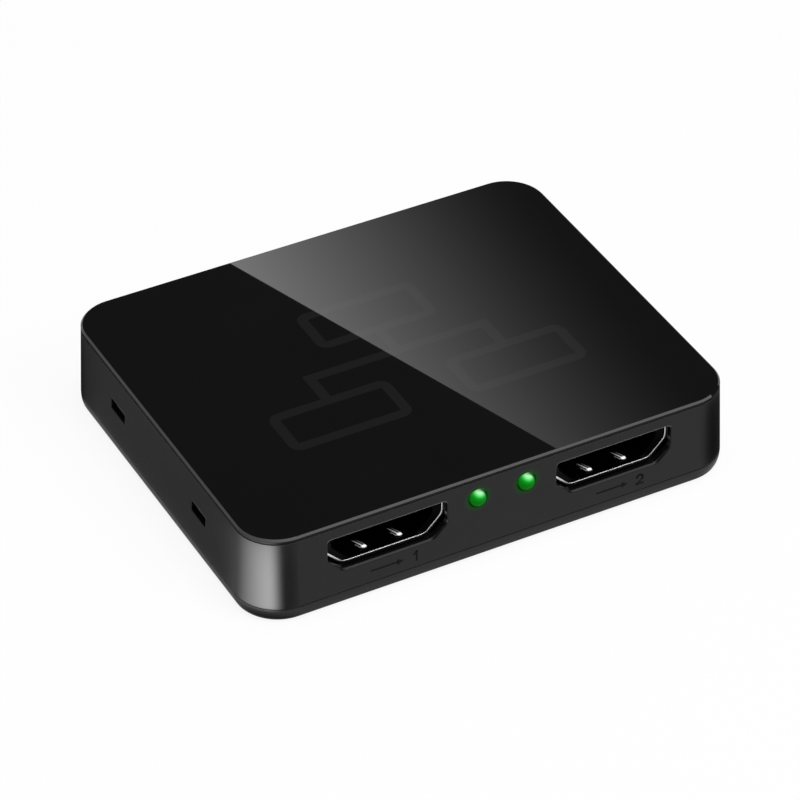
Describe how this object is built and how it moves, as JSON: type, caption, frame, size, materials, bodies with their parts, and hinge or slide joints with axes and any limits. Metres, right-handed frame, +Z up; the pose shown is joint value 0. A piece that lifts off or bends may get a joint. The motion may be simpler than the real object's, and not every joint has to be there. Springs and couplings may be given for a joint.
{
  "type": "video splitter",
  "caption": "Flat black video splitter box: gloss top panel, snap-fit case with rounded corners, output sockets and green lamps in front, input and power sockets at the back.",
  "frame": {"origin": "middle of the flat underside, on the table", "axes": "+X to the right along the case width seen from the output side, +Y from the output side to the input side, +Z up"},
  "size_m": [0.068, 0.0559, 0.0125],
  "materials": {
    "case_black": "fine matte texture",
    "panel_black": "high gloss",
    "tape_dark": "foam tape",
    "board_green": "solder mask over glass cloth board",
    "socket_plate": "bright plated sheet",
    "insulator_black": "moulded",
    "contact_gold": "gold plated",
    "lamp_green": "clear tinted resin, lit",
    "tinned": "tinned",
    "chip_black": "moulded epoxy",
    "ferrite": "ferrite",
    "ceramic_tan": "ceramic"
  },
  "bodies": {
    "root": {"bottom_cover": "case_black", "upper_shell": "case_black", "top_panel": "panel_black", "panel_tape": "tape_dark", "circuit_board": "board_green", "output_1_shell": "socket_plate", "output_2_shell": "socket_plate", "input_shell": "socket_plate", "power_shell": "socket_plate", "output_1_insulator": "insulator_black", "output_2_insulator": "insulator_black", "input_insulator": "insulator_black", "power_insulator": "insulator_black", "output_1_contacts": "contact_gold", "output_2_contacts": "contact_gold", "input_contacts": "contact_gold", "power_contacts": "contact_gold", "led_1": "lamp_green", "led_2": "lamp_green", "led_legs": "tinned", "splitter_leads": "tinned", "memory_leads": "tinned", "regulator_leads": "tinned", "crystal_can": "tinned", "inductor_ends": "tinned", "capacitor_ends": "tinned", "resistor_ends": "tinned", "splitter_chip": "chip_black", "memory_chip": "chip_black", "regulator": "chip_black", "crystal_base": "chip_black", "surge_arrays": "chip_black", "resistors": "chip_black", "inductor_core": "ferrite", "capacitors": "ceramic_tan"}
  },
  "joints": []
}
